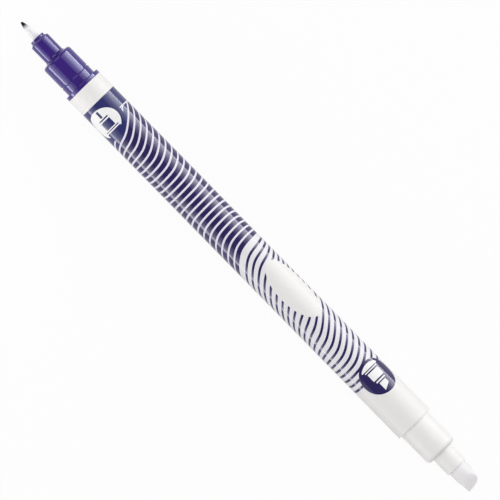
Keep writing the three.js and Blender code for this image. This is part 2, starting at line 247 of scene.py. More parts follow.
class WhiteEndSizes(bpy.types.PropertyGroup):
    """Sizes of the white nose and of the sleeve that grips the eraser nib."""

    shoulder_length: length("Shoulder length", "Length of the nose's rounded shoulder", 0.95)
    front_rim: length("Front rim", "Width of the flat ring round the sleeve", 0.18)
    front_wall: length("Front wall", "Thickness of the nose's front wall", 1.7)
    hole_diameter: length("Hole diameter", "Width of the hole for the sleeve", 5.4)
    cavity_diameter: length("Cavity diameter", "Width inside the nose", 5.9)
    foot_rounding: length("Foot rounding", "Rounding of the nose's foot in its seat", 0.08)
    sleeve_diameter: length("Sleeve diameter", "Outer width of the sleeve", 5.3)
    sleeve_bore: length("Sleeve bore", "Inner width of the sleeve", 4.6)
    sleeve_rounding: length("Sleeve rounding", "Rounding of the sleeve's mouth", 0.2)
    flange_thickness: length("Flange thickness", "Thickness of the sleeve's flange", 0.8)
    tail_length: length("Tail length", "Length of the sleeve behind its flange", 5.0)


class ChiselNibSizes(bpy.types.PropertyGroup):
    """Sizes of the felt nib's chisel end."""

    shaped_length: length("Shaped length", "Length of the nib that is cut to a chisel", 5.2)
    edge_thickness: length("Edge thickness", "Thickness of the writing edge", 1.2)
    long_side: length("Long side", "From the axis to the long corner", 1.87)
    short_side: length("Short side", "From the axis to the short corner", 1.87)
    side_taper: length("Side taper", "Length over which both sides are drawn in", 3.4)
    slant: length("Slant", "How far the long corner stands past the short one", 0.65)
    long_corner: length("Long corner", "Rounding of the long corner", 0.16)
    short_corner: length("Short corner", "Rounding of the short corner", 1.0)
    softness: length("Edge softness", "Rounding of the writing edge", 0.14)
    tail_chamfer: length("Tail chamfer", "Chamfer of the tail in the reservoir", 0.8)


class PrintSettings(bpy.types.PropertyGroup):
    """The line print round the barrel."""

    start: place("Start", "Where the print starts", -47.55)
    block_end: place("Block end", "Where the plain block ends and the lines start", -43.1)
    edge_line: length("Edge line", "Width of the white line at the block's end", 0.28)
    pitch: length("Pitch", "Distance from line to line", 1.714)
    white_line: length("White line", "Width of the white lines", 0.46)
    navy_line: length("Navy line", "Width of the navy lines", 0.6)
    upper_sweep: length("Upper sweep", "How far the lines are swept back above", 5.43)
    upper_place: place("Upper place", "Where the lines stand upright above", -8.3)
    upper_period: length("Upper wave length", "Distance after which the wave above repeats", 63.6)
    lower_sweep: length("Lower sweep", "How far the lines are swept forward below", 5.46)
    lower_place: place("Lower place", "Where the lines are swept most below", 5.3)
    lower_period: length("Lower wave length", "Distance after which the wave below repeats", 61.3)
    overshoot: share("Overshoot", "Share of a sweep by which an upright line leans the other way", 0.125)
    turn: rotation("Turn", "From the top of the pen to the line where the sweeps meet", 5.2)
    early_bend: rotation("Early bend", "From the top to the bend of a fully swept line", -5.2)
    late_bend: rotation("Late bend", "From the top to the bend of a hardly swept line", 48.6)
    bend_width: rotation("Bend width", "Half the turn over which a line bends", 22.0)
    first_line: place("First line", "Where the first line would cross the top of the barrel", -38.0)
    bunching: length("Bunching", "How far the lines are drawn together in the middle", 1.32)
    bunching_place: place("Bunching place", "Where the lines are shifted most", -1.8)
    bunching_period: length("Bunching period", "Distance after which the bunching repeats", 61.7)
    ground_end: bpy.props.FloatProperty(
        name="Ground end", description="Number of the line at which the navy ground ends", default=22.82
    )
    last_line: bpy.props.FloatProperty(
        name="Last line", description="Number of the last line", default=45.0
    )


class PenColours(bpy.types.PropertyGroup):
    """Colours of the pen's materials."""

    white_plastic: colour("White plastic", "Barrel, white nose and sleeve", 246, 244, 243)
    navy_plastic: colour("Navy plastic", "Nose of the rewriting end", 55, 23, 122)
    line_ink: colour("Line ink", "Navy ink of the lines, their ground and the right badge", 42, 32, 93)
    block_ink: colour("Block ink", "Navy ink of the plain block", 46, 50, 112)
    line_white: colour("Line white", "White lines on the navy ground", 240, 235, 252)
    gap_white: colour("Gap white", "White ground between the navy lines", 242, 240, 246)
    badge_white: colour("Badge white", "White of the badges and their pictures", 255, 255, 255)
    felt: colour("Felt", "Eraser nib", 250, 248, 250)
    fibre: colour("Fibre", "Fine nib, where the ink hasn't reached it", 244, 244, 247)
    nib_ink: colour("Nib ink", "Point of the fine nib", 8, 8, 13)
    reservoir_ink: colour("Reservoir ink", "Fibre rod that holds the ink", 39, 36, 110)
    plug: colour("Plug", "Stopper between the reservoirs", 220, 220, 216)
    film: colour("Film", "Skin round the reservoirs", 233, 237, 242)
    gloss: share("Gloss roughness", "Roughness of the glossy plastics", 0.17)


def arithmetic(operation, swapped=False):
    """A method for one of Python's operators, which adds a Math node."""

    def method(self, other):
        numbers = (other, self) if swapped else (self, other)
        return self.finish.maths(operation, *numbers)

    return method


class Value:
    """A number's socket in a material, on which Python's operators add Math nodes."""

    def __init__(self, finish, socket):
        self.finish = finish
        self.socket = socket

    __add__ = arithmetic("ADD")
    __sub__ = arithmetic("SUBTRACT")
    __rsub__ = arithmetic("SUBTRACT", swapped=True)
    __mul__ = __rmul__ = arithmetic("MULTIPLY")
    __truediv__ = arithmetic("DIVIDE")
    __rtruediv__ = arithmetic("DIVIDE", swapped=True)

    def __neg__(self):
        return self.finish.maths("MULTIPLY", self, -1.0)

    def __abs__(self):
        return self.finish.maths("ABSOLUTE", self)


class Finish:
    """A material's node tree, with one shader that stands for the whole surface."""

    def __init__(self, name, **constants):
        self.material = bpy.data.materials.new(name)
        self.material.use_nodes = True
        self.tree = self.material.node_tree
        self.tree.nodes.clear()
        fixed = {key.replace("_", " "): value for key, value in constants.items()}
        self.shader = self.node("ShaderNodeBsdfPrincipled", {}, fixed)
        surface = self.shader.outputs["BSDF"]
        self.node("ShaderNodeOutputMaterial", {}, {"Surface": Value(self, surface)})
        here = self.node("ShaderNodeTexCoord").outputs["Object"]
        self.here = Value(self, here)
        parts = self.node("ShaderNodeSeparateXYZ", {}, {"Vector": self.here})
        self.x, self.y, self.z = (Value(self, parts.outputs[axis]) / MM for axis in "XYZ")

    def node(self, kind, settings=None, sockets=None):
        """A new node. Its settings are set first, and then its sockets, each to a value or a link."""
        made = self.tree.nodes.new(kind)
        for name, setting in (settings or {}).items():
            setattr(made, name, setting)
        for name, given in (sockets or {}).items():
            socket = self.socket(made.inputs, name)
            if isinstance(given, Value):
                self.tree.links.new(given.socket, socket)
            elif socket.type == "RGBA":
                socket.default_value = (*given, 1.0)
            else:
                socket.default_value = given
        return made

    @staticmethod
    def socket(sockets, name):
        """A socket by its number, its identifier or its name."""
        if isinstance(name, int):
            return sockets[name]
        return next((one for one in sockets if one.identifier == name), None) or sockets[name]

    def maths(self, operation, *numbers):
        made = self.node("ShaderNodeMath", {"operation": operation}, dict(enumerate(numbers)))
        return Value(self, made.outputs[0])

    def most(self, first, *others):
        for other in others:
            first = self.maths("MAXIMUM", first, other)
        return first

    def least(self, first, *others):
        for other in others:
            first = self.maths("MINIMUM", first, other)
        return first

    def root(self, number):
        return self.maths("SQRT", number)

    def clamped(self, number, low=0.0, high=1.0):
        made = self.node("ShaderNodeClamp", {}, {"Value": number, "Min": low, "Max": high})
        return Value(self, made.outputs[0])

    def below(self, number, limit, blur=0.03):
        """1 where the number is below the limit, 0 where it is above, with a soft step."""
        return self.clamped((limit - number) / blur + 0.5)

    def within(self, number, low, high):
        return self.below(abs(number - (low + high) / 2), (high - low) / 2)

    def mixed(self, factor, first, second):
        """The first colour where the factor is 0, the second where it is 1."""
        sockets = {"Factor_Float": factor, "A_Color": first, "B_Color": second}
        made = self.node("ShaderNodeMix", {"data_type": "RGBA"}, sockets)
        return Value(self, self.socket(made.outputs, "Result_Color"))

    def between(self, factor, low, high):
        return factor * (high - low) + low

    def noise(self, size, detail=3.0, roughness=0.5, along=1.0):
        """Smooth noise from 0 to 1, with spots of this size in metres, drawn out along the pen."""
        stretch = {0: self.here, 1: (1.0 / along, 1.0, 1.0)}
        drawn = self.node("ShaderNodeVectorMath", {"operation": "MULTIPLY"}, stretch)
        sockets = {
            "Vector": Value(self, drawn.outputs[0]),
            "Scale": 1.0 / size,
            "Detail": detail,
            "Roughness": roughness,
        }
        return Value(self, self.node("ShaderNodeTexNoise", {}, sockets).outputs[0])

    def bump(self, height, distance, strength=1.0):
        sockets = {"Height": height, "Distance": distance, "Strength": strength}
        return Value(self, self.node("ShaderNodeBump", {}, sockets).outputs[0])

    def set(self, **channels):
        """Links what varies over the surface to the shader."""
        for name, value in channels.items():
            self.tree.links.new(value.socket, self.shader.inputs[name.replace("_", " ")])
        return self.material


def shaded(colour_now, factor):
    """A colour made lighter or darker."""
    return tuple(min(1.0, channel * factor) for channel in colour_now)


def gloss_plastic(name, base, roughness, ior, tint=(1.0, 1.0, 1.0)):
    """Moulded glossy plastic: faint clouding, uneven gloss and a slight orange peel."""
    finish = Finish(name, IOR=ior, Specular_Tint=tint)
    clouds, grain, peel = (finish.noise(size, detail) for size, detail in GLOSS_NOISE)
    return finish.set(
        Base_Color=finish.mixed(clouds, shaded(base, 0.96), shaded(base, 1.04)),
        Roughness=finish.between(grain, roughness * 0.92, roughness * 1.1),
        Normal=finish.bump(peel, 0.0004 * MM),
    )


def navy_plastic(name, colours):
    """The deep, shiny plastic of the rewriting end, which throws bluish reflections."""
    return gloss_plastic(name, colours.navy_plastic, colours.gloss * 0.8, 1.66, (0.8, 0.85, 1.0))


def satin_plastic(name, colours):
    """The white plastic of the eraser end, duller than the barrel's."""
    return gloss_plastic(name, colours.white_plastic, colours.gloss * 2.0, 1.28)


# The badges in the print, in millimetres. A place is given along the pen and round it from its top line.
LEFT_BADGE = (-42.85, 2.65)
LEFT_SQUEEZE = 0.87  # of the left badge's distances round the pen, where it is a little drawn out
RING_RADIUS = 4.45
DISC_RADIUS = 3.48
RIGHT_BADGE = (39.25, -1.77)
BADGE_RADIUS = 4.3
PICTURE_RADIUS = 3.67  # the eraser end's picture is cut off here

# The pictures in the badges, from left to right: from and to along the pen, half the width round it
REWRITER_MIDDLE = 2.2
REWRITER_PICTURE = (
    (-45.95, -44.2, 0.32),
    (-43.96, -43.62, 1.45),
    (-43.3, -41.3, 1.42),
    (-41.06, -40.82, 2.04),
    (-40.52, -36.0, 2.15),
)
ERASER_MIDDLE = -1.7
ERASER_PICTURE = (
    (32.0, 36.76, 2.4),
    (37.02, 37.28, 1.9),
    (37.62, 39.68, 1.64),
    (40.06, 40.42, 1.37),
    (40.73, 43.2, 0.95),
)
TIP_END = 42.3  # where the picture's slanted tip ends at its middle
TIP_SLANT = 0.5  # how far along the pen it slants for each step round it

# The bare oval in the lines
PATCH = (12.4, -2.0)
PATCH_HALF_LENGTH = 8.2
PATCH_SQUEEZE = 37.0 / 17.5  # its length over its width

# In numbers of lines: where the white lines start, how far past the end of the ground the navy ones start,
# and how far past the last line they and the tint of the white between them end
FIRST_COUNT = -1.5
AFTER_GROUND = 0.6
AFTER_LAST = 0.5
TINT_AFTER_LAST = 0.7

PRINT_DEPTH = 0.2  # how far in from the outer wall the print reaches, in millimetres

SIDE_ANGLE = math.radians(81)  # where a line has its whole sweep
EDGE_SHARE = 0.985  # of the barrel's radius, which keeps the lines' slope finite at the outermost edge
SLANT_POWER = 0.3  # 0.5 would keep a slanted line as wide as an upright one
CROSSING_ROUNDS = 4


def swept_lines(finish, sine, settings):
    """The line that passes here, as a number that grows along the pen, and the distance to its middle.

    A line is named by where it crosses the top of the barrel. From there it is swept to either side, so
    that the crossing is found in rounds, each from the one before.
    """
    corner = settings.bend_width
    swing = (1.0 + settings.overshoot) / 2

    def wave(crossing, centre, period):
        """The wave's height and slope at the crossing."""
        number = 2 * math.pi / (period / MM)
        phase = (crossing - centre / MM) * number
        return finish.maths("COSINE", phase), finish.maths("SINE", phase) * -number

    def bend(angle, amount, sweep):
        """How far a whole sweep goes at this angle, and how steeply. The fuller, the sooner it bends."""
        bends_at = settings.late_bend - amount * (settings.late_bend - settings.early_bend)

        def past(angle_now):
            reach = finish.root((angle_now - bends_at) * (angle_now - bends_at) + corner * corner)
            return (angle_now - bends_at + reach) * 0.5, reach

        at_top, _ = past(0.0)
        at_side, _ = past(SIDE_ANGLE)
        here, reach = past(angle)
        whole = (sweep / MM) / (at_side - at_top)
        return (here - at_top) * whole, ((angle - bends_at) / reach + 1.0) * 0.5 * whole

    crossing = finish.x
    turned = finish.maths("ARCSINE", sine * EDGE_SHARE) - settings.turn
    for _ in range(CROSSING_ROUNDS):
        height, rise = wave(crossing, settings.upper_place, settings.upper_period)
        upper, upper_rise = swing * (1.0 - height) - settings.overshoot, rise * -swing
        height, rise = wave(crossing, settings.lower_place, settings.lower_period)
        lower, lower_rise = swing * (height + 1.0) - settings.overshoot, rise * swing
        upper_shift, upper_slope = bend(-turned, upper, settings.upper_sweep)
        lower_shift, lower_slope = bend(turned, lower, settings.lower_sweep)
        crossing = finish.x + upper * upper_shift - lower * lower_shift
    spread = 1.0 - upper_rise * upper_shift + lower_rise * lower_shift
    slope = (lower * lower_slope + upper * upper_slope) / (BARREL_RADIUS / MM)
    slanted = finish.maths("POWER", slope * slope + 1.0, SLANT_POWER)

    pitch = settings.pitch / MM
    bunching = settings.bunching / MM
    bunched, drawn = wave(crossing, settings.bunching_place, settings.bunching_period)
    count = (crossing - settings.first_line / MM + (bunched + 1.0) * bunching) / pitch
    away = abs(count - finish.maths("ROUND", count)) * pitch / (drawn * bunching + 1.0)
    return count, away * spread / slanted


def printed_plastic(name, settings, colours):
    """White glossy plastic with the navy print wrapped round it."""
    finish = Finish(name, Specular_IOR_Level=0.0, Coat_IOR=1.52, Coat_Roughness=0.17)
    x, radius = finish.x, BARREL_RADIUS / MM
    sine = finish.clamped(-finish.y / radius, -1.0, 1.0)
    round_top = finish.maths("ARCSINE", sine) * radius
    front = finish.maths("GREATER_THAN", finish.z, AXIS_HEIGHT / MM)
    count, away = swept_lines(finish, sine, settings)

    def distance(middle, squeeze=1.0):
        along, across = x - middle[0], (round_top - middle[1]) * squeeze
        return finish.root(along * along + across * across)

    def picture(blocks, middle):
        for low, high, half in blocks:
            across = finish.below(abs(round_top - middle), half)
            yield finish.least(finish.within(x, low, high), across)

    # Left badge: a white disc in a navy ring, with the rewriting end drawn in it
    left = distance(LEFT_BADGE, LEFT_SQUEEZE)
    ring = finish.below(left, RING_RADIUS)
    rewriter = finish.most(*picture(REWRITER_PICTURE, REWRITER_MIDDLE))
    disc = finish.below(left, DISC_RADIUS) * (1.0 - rewriter)

    # Right badge: a navy disc, with the eraser end drawn in it in white
    right = distance(RIGHT_BADGE)
    badge = finish.below(right, BADGE_RADIUS)
    *rest, tip = picture(ERASER_PICTURE, ERASER_MIDDLE)
    tip = tip * finish.below(x - (round_top - ERASER_MIDDLE) * TIP_SLANT, TIP_END)
    eraser = finish.most(*rest, tip) * finish.below(right, PICTURE_RADIUS)
    pictured = finish.most(disc, eraser) * front

    # Navy ground with white lines, then white ground with navy ones, which leave a plain patch
    ground = finish.below(count, settings.ground_end, 0.02)
    started = finish.below(settings.block_end / MM, x)
    white_lines = finish.below(away, settings.white_line / MM / 2) * started
    white_lines = white_lines * finish.below(FIRST_COUNT, count, 0.02)
    edge_line = finish.below(abs(x - settings.block_end / MM), settings.edge_line / MM / 2)
    cuts = finish.most(white_lines, edge_line) * (1.0 - ring * front)
    striped = ground * (1.0 - cuts)
    patch = finish.below(distance(PATCH, PATCH_SQUEEZE), PATCH_HALF_LENGTH) * front
    numbered = finish.within(count, settings.ground_end + AFTER_GROUND, settings.last_line + AFTER_LAST)
    navy_lines = finish.below(away, settings.navy_line / MM / 2) * numbered * (1.0 - patch)
    printed = finish.below(settings.start / MM, x)
    navy = finish.most(striped, navy_lines, badge * front) * printed * (1.0 - pictured)

    # The print is on the outer wall alone
    height = finish.z - AXIS_HEIGHT / MM
    outside = finish.root(finish.y * finish.y + height * height)
    navy = navy * finish.below(radius - PRINT_DEPTH, outside)

    clouds, grain, peel = (finish.noise(size, detail) for size, detail in GLOSS_NOISE)
    lined = started * finish.below(count, settings.last_line + TINT_AFTER_LAST) * (1.0 - patch)
    lines_white = finish.mixed(ground, colours.gap_white, colours.line_white)
    white = finish.mixed(lined, colours.white_plastic, lines_white)
    white = finish.mixed(pictured, white, colours.badge_white)
    white = finish.mixed(clouds * 0.3, white, shaded(colours.white_plastic, 0.94))
    ink = finish.mixed(finish.below(count, 0.0), colours.line_ink, colours.block_ink)
    ink = finish.mixed(grain * 0.2, ink, shaded(colours.line_ink, 0.5))
    return finish.set(
        Base_Color=finish.mixed(navy, white, ink),
        Roughness=finish.between(grain, colours.gloss * 0.85, colours.gloss * 1.2),
        Coat_Weight=finish.between(navy, 0.12, 1.0),
        Normal=finish.bump(peel * 0.3 + navy * 2.0, 0.002 * MM),
    )


def fibre_nib(name, sizes, colours, tip):
    """Bonded fibres along the nib, dark with ink at the writing point."""
    finish = Finish(name, IOR=1.4, Specular_IOR_Level=0.3)
    strands = finish.noise(0.09 * MM, detail=4.0, roughness=0.65, along=14.0)
    clouds = finish.noise(0.7 * MM, detail=2.0)
    spread = finish.x - (tip + sizes.ink_length) / MM + (strands - 0.5) * 0.2
    fade = finish.clamped(1.0 - spread / (sizes.ink_fade / MM))
    dry = finish.mixed(strands, shaded(colours.fibre, 0.975), shaded(colours.fibre, 1.02))
    dry = finish.mixed(clouds * 0.15, dry, shaded(colours.fibre, 0.92))
    return finish.set(
        Base_Color=finish.mixed(fade, dry, colours.nib_ink),
        Roughness=finish.between(strands, 0.45, 0.75),
        Normal=finish.bump(strands, 0.002 * MM, 0.6),
    )


def pressed_felt(name, base, dark=0.94):
    """Pressed felt: short fibres along the rod, cloudy and quite matt."""
    finish = Finish(name, IOR=1.4, Specular_IOR_Level=0.25, Sheen_Weight=0.15, Sheen_Roughness=0.6)
    strands = finish.noise(0.13 * MM, detail=5.0, roughness=0.7, along=5.0)
    tufts = finish.noise(0.5 * MM, detail=3.0, roughness=0.6, along=1.6)
    worn = finish.mixed(strands, shaded(base, dark), shaded(base, 1.05))
    return finish.set(
        Base_Color=finish.mixed(tufts * 0.5, worn, shaded(base, dark)),
        Roughness=finish.between(tufts, 0.8, 1.0),
        Normal=finish.bump(strands + tufts * 1.5, 0.05 * MM, 0.8),
    )


def matt_plastic(name, base):
    """Plain moulded plastic that is out of sight in use."""
    finish = Finish(name, IOR=1.5)
    clouds = finish.noise(1.6 * MM)
    grain = finish.noise(0.15 * MM, detail=3.0)
    return finish.set(
        Base_Color=finish.mixed(clouds, shaded(base, 0.94), shaded(base, 1.03)),
        Roughness=finish.between(grain, 0.42, 0.6),
        Normal=finish.bump(grain, 0.004 * MM),
    )


def reservoir_film(name, base):
    """Thin film with fine wrinkles along the rod."""
    finish = Finish(name, IOR=1.5)
    wrinkles = finish.noise(0.5 * MM, detail=3.0, along=8.0)
    return finish.set(
        Base_Color=finish.mixed(wrinkles, shaded(base, 0.9), base),
        Roughness=finish.between(wrinkles, 0.15, 0.35),
        Normal=finish.bump(wrinkles, 0.02 * MM),
    )


ROUNDING_ROOM = 0.48  # of the shorter side, which a rounding takes at most


def rounded(corners, steps=5):
    """The points of an outline of (x, radius, rounding) corners, with a curve in each rounded one."""
    points = []
    for index, (x, radius, rounding) in enumerate(corners):
        corner = Vector((x, radius))
        if rounding <= 0:
            points.append(corner)
            continue
        to_last = Vector(corners[index - 1][:2]) - corner
        to_next = Vector(corners[(index + 1) % len(corners)][:2]) - corner
        half = to_last.angle(to_next) / 2
        run = min(rounding / math.tan(half), ROUNDING_ROOM * min(to_last.length, to_next.length))
        first, last = corner + to_last.normalized() * run, corner + to_next.normalized() * run
        for step in range(steps + 1):
            done = step / steps
            left = 1 - done
            points.append(first * left**2 + corner * (2 * done * left) + last * done**2)
    return [(point.x, point.y) for point in points]


def quarter(along, across, steps=12):
    """Points of a rounded shoulder, from where it runs along the axis to where it runs across it."""
    angles = [step / steps * math.pi / 2 for step in range(steps + 1)]
    deep, high = across[0] - along[0], along[1] - across[1]
    return [(along[0] + deep * math.sin(angle), across[1] + high * math.cos(angle)) for angle in angles]


def hollow(foot, size, steps=8):
    """Points of a hollow rounding at the foot of a shoulder, as far as where it rises straight."""
    angles = [step / steps * math.pi / 2 for step in range(steps + 1)]
    x, radius = foot
    return [(x + size * math.sin(angle), radius + size * (1 - math.cos(angle))) for angle in angles]


def on_ring(x, radius, turn):
    """The point at this turn from the top of the pen, towards -Y."""
    return Vector((x, -radius * math.sin(turn), AXIS_HEIGHT + radius * math.cos(turn)))


def circle(x, radius):
    """Points round the axis, or the one point where they meet."""
    if radius < ON_AXIS:
        return [Vector((x, 0.0, AXIS_HEIGHT))]
    return [on_ring(x, radius, turn) for turn in TURNS]


def skin(mesh, outlines, closed=False):
    """Faces from each outline of points to the next. Returns one band of faces for each step."""
    rings = [[mesh.verts.new(point) for point in outline] for outline in outlines]
    bands = []
    for ring, follower in zip(rings, rings[1:] + rings[:1] if closed else rings[1:]):
        band = []
        for index in range(SEGMENTS):
            following = (index + 1) % SEGMENTS
            around = [ring[index % len(ring)], ring[following % len(ring)]]
            around += [follower[following % len(follower)], follower[index % len(follower)]]
            band.append(mesh.faces.new(list(dict.fromkeys(around))))
        bands.append(band)
    return bands


def finished_piece(name, mesh, material, node, slot, sharp=SHARP_ANGLE):
    """Makes the mesh a piece with this material, which rides with the pen and replaces its CAD node."""
    bmesh.ops.recalc_face_normals(mesh, faces=mesh.faces)
    mesh.normal_update()
    for face in mesh.faces:
        face.smooth = True
    for edge in mesh.edges:
        edge.smooth = edge.calc_face_angle(0.0) < sharp
    data = bpy.data.meshes.new(name)
    mesh.to_mesh(data)
    mesh.free()
    data.materials.append(material)
    piece = bpy.data.objects.new(name, data)
    bpy.context.scene.collection.objects.link(piece)
    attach(piece, "root")
    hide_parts(node)


def turned_piece(name, corners, material, node, slot, closed=True):
    """A piece turned about the pen's axis from an outline of (x, radius, rounding) corners."""
    mesh = bmesh.new()
    skin(mesh, [circle(x, radius) for x, radius in rounded(corners)], closed)
    finished_piece(name, mesh, material, node, slot)


def ridge(end, inward, setback, width, height, radius):
    """The outline of a bead, or of a groove in a bore, from a piece's end inwards, +1 or -1 along X."""
    half = width / 2
    places = ((-half, 0.0), (height - half, height), (half - height, height), (half, 0.0))
    return [(end + inward * (setback + along), radius + out) for along, out in places]


def spigot(sizes, end, inward):
    """The outline of a spigot from its snap bead to its end."""
    radius = inside_frame(sizes.spigot_diameter)
    bead = ridge(end, inward, sizes.bead_setback, sizes.bead_width, sizes.bead_height, radius)
    chamfered = end + inward * (sizes.spigot_length - sizes.spigot_chamfer)
    tip = end + inward * sizes.spigot_length
    return bead + [(chamfered, radius), (tip, radius - sizes.spigot_chamfer)]


def inside_frame(diameter):
    """The radius of a ring of this diameter, less what the frame's polygons lack of it."""
    return diameter / 2 * INSCRIBED


def plain(points):
    """Corners without rounding."""
    return [(x, radius, 0.0) for x, radius in points]


class Making:
    """What all the operators share."""

    bl_options = {"REGISTER", "UNDO"}


RIBS = 6

# The barrel's bake layout, in shares of its side: the outer wall's strips, the column with its inner faces
# beside them, and the patch for the ribs
STRIPS = 4
STRIP_MARGIN = 0.003
STRIP_SCALE = 0.985
STRIP_HEIGHT = 0.494
COLUMN_LEFT = 0.905
COLUMN_WIDTH = 0.09
COLUMN_FOOT = 0.03
COLUMN_HEIGHT = 0.96
RIB_PATCH = ((0.91, 0.004), (0.99, 0.004), (0.99, 0.02), (0.91, 0.02))
RIB_FACES = ((0, 1, 5, 4), (0, 4, 6, 2), (1, 3, 7, 5), (0, 2, 3, 1), (4, 5, 7, 6), (2, 6, 7, 3))


class ERASERPEN_OT_barrel(Making, bpy.types.Operator):
    """Turns the printed barrel, with its bore, plug seat, snap grooves and ribs"""

    bl_idname = "eraser_pen.barrel"
    bl_label = "Barrel"

    def execute(self, context):
        sizes = context.scene.pen_barrel
        start, end, outer = BARREL_LOW.x, BARREL_HIGH.x, BARREL_RADIUS
        middle = (start + end) / 2
        bore = outer - sizes.wall * INSCRIBED
        seat = inside_frame(sizes.seat_diameter)
        recess = inside_frame(sizes.recess_diameter)
        recess_foot = end - sizes.recess_depth
        seat_start, seat_end = middle - sizes.seat_length / 2, middle + sizes.seat_length / 2
        joints = [start + (end - start) * number / STRIPS for number in range(1, STRIPS)]
        groove = (sizes.groove_setback, sizes.groove_width, sizes.groove_depth, bore)

        outside = rounded(
            [(start, bore, 0.0), (start, outer, sizes.rim)]
            + plain([(x, outer) for x in joints])
            + [(end, outer, sizes.rim), (end, recess, 0.0)]
        )
        inside = rounded(
            [(end, outer, 0.0), (end, recess, sizes.mouth / 2)]
            + plain([(recess_foot, recess), (recess_foot, bore)])
            + plain(ridge(end, -1, *groove))
            + plain([(seat_end, bore), (seat_end, seat), (seat_start, seat), (seat_start, bore)])
            + plain(ridge(start, 1, *groove)[::-1])
            + [(start, bore, sizes.mouth), (start, outer, 0.0)]
        )
        points = outside[1:-1] + inside[1:-1]
        mesh = bmesh.new()
        bands = skin(mesh, [circle(x, radius) for x, radius in points], closed=True)
        self.unwrap(mesh, bands, [Vector(point) for point in points])

        rooted = bore + sizes.wall / 4
        for run in ((start + sizes.rib_setback, middle), (middle, end - sizes.rib_setback)):
            for index in range(RIBS):
                turn = 2 * math.pi * (index + 0.5) / RIBS
                self.add_rib(mesh, run, (seat, rooted), sizes.rib_width, turn)
        material = printed_plastic(
            "printed barrel", context.scene.pen_print, context.scene.pen_colours
        )
        finished_piece("printed_barrel", mesh, material, "barrel", "printed_barrel")
        return {"FINISHED"}

    @staticmethod
    def unwrap(mesh, bands, points):
        """Lays the outer wall out in four strips, two by two, and the rest in a column beside them."""
        layer = mesh.loops.layers.uv.new("OFBake")
        strip = (BARREL_HIGH.x - BARREL_LOW.x) / STRIPS
        side = 2 * 2 * math.pi * BARREL_RADIUS  # two strips, each unrolled, fill the layout's height
        steps = list(zip(points, points[1:] + points[:1]))
        total = sum((ahead - here).length for here, ahead in steps)
        travelled = 0.0
        for band, (here, ahead) in zip(bands, steps):
            step = (ahead - here).length
            on_wall = min(here.y, ahead.y) > BARREL_RADIUS - 0.001 * MM and step > MM
            number = min(STRIPS - 1, int(((here.x + ahead.x) / 2 - BARREL_LOW.x) / strip))
            column, row = number % 2, number // 2
            for index, face in enumerate(band):
                before = set(face.verts) & set(band[index - 1].verts)
                for loop in face.loops:
                    x, y, z = loop.vert.co
                    part = (index if loop.vert in before else index + 1) / SEGMENTS
                    if on_wall:
                        along = (x - BARREL_LOW.x - number * strip) / side
                        u = column * strip / side + STRIP_MARGIN + along * STRIP_SCALE
                        v = row / 2 + STRIP_MARGIN + part * STRIP_HEIGHT
                    else:
                        run = travelled + (Vector((x, math.hypot(y, z - AXIS_HEIGHT))) - here).length
                        u = COLUMN_LEFT + COLUMN_WIDTH * part
                        v = COLUMN_FOOT + COLUMN_HEIGHT * run / total
                    loop[layer].uv = (u, v)
            travelled += step

    @staticmethod
    def add_rib(mesh, run, span, width, turn):
        """A bar along the bore, rooted in the wall."""
        layer = mesh.loops.layers.uv["OFBake"]
        aside = Vector((0.0, -math.cos(turn), -math.sin(turn)))
        corners = []
        for x in run:
            for radius in span:
                for side in (-width / 2, width / 2):
                    corners.append(mesh.verts.new(on_ring(x, radius, turn) + aside * side))
        for around in RIB_FACES:
            face = mesh.faces.new([corners[one] for one in around])
            for loop, spot in zip(face.loops, RIB_PATCH):
                loop[layer].uv = spot


class ERASERPEN_OT_navy_nose(Making, bpy.types.Operator):
    """Turns the navy nose of the rewriting end: lip, front, shoulder, body, flange and spigot"""

    bl_idname = "eraser_pen.navy_nose"
    bl_label = "Navy nose"

    def execute(self, context):
        sizes = context.scene.pen_navy_nose
        low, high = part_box("rewriter_nose")
        mouth = BARREL_LOW.x
        flange_front = mouth - sizes.flange
        body_start = flange_front - sizes.body_length
        shoulder_start = body_start - sizes.shoulder_length
        front_start = shoulder_start - sizes.front_length
        lip_back = front_start - sizes.front_chamfer
        body = inside_frame(sizes.body_diameter)
        front = inside_frame(sizes.front_diameter)
        lip = inside_frame(sizes.lip_diameter)
        bore = inside_frame(sizes.bore_diameter)
        guide = inside_frame(sizes.guide_diameter)
        cavity = inside_frame(sizes.cavity_diameter)
        groove_front = flange_front - sizes.groove_setback - sizes.groove_width / 2
        groove_back = groove_front + sizes.groove_width
        bead_end = groove_back + sizes.cap_bead_width
        bead = body + sizes.cap_bead_height
        guide_end = body_start + sizes.guide_length
        shoulder = hollow((shoulder_start, front), sizes.shoulder_foot)
        shoulder += quarter((body_start, body), shoulder[-1])[-2::-1]
        corners = (
            [(low.x, bore, SMOOTH), (low.x, lip, sizes.lip_rounding), (lip_back, lip, FINE)]
            + [(front_start, front, sizes.edge)]
            + plain(shoulder)
            + [(groove_front, body, FINE), (groove_front, body - sizes.groove_depth, 0.0)]
            + [(groove_back, body - sizes.groove_depth, 0.0), (groove_back, (body + bead) / 2, CRISP)]
            + [(groove_back + sizes.cap_bead_width / 3, bead, SOFT), (bead_end, body, SOFT)]
            + [(flange_front, body, EASED), (flange_front, BARREL_RADIUS, sizes.edge)]
            + [(mouth, BARREL_RADIUS, sizes.edge), (mouth, inside_frame(sizes.spigot_diameter), 0.0)]
            + plain(spigot(sizes, mouth, 1))
            + [(high.x, cavity, SOFT)]
            + plain([(body_start, cavity), (body_start, guide), (guide_end, guide), (guide_end, bore)])
        )
        material = navy_plastic("navy plastic", context.scene.pen_colours)
        turned_piece("navy_nose", corners, material, "rewriter_nose", "navy_plastic")
        return {"FINISHED"}


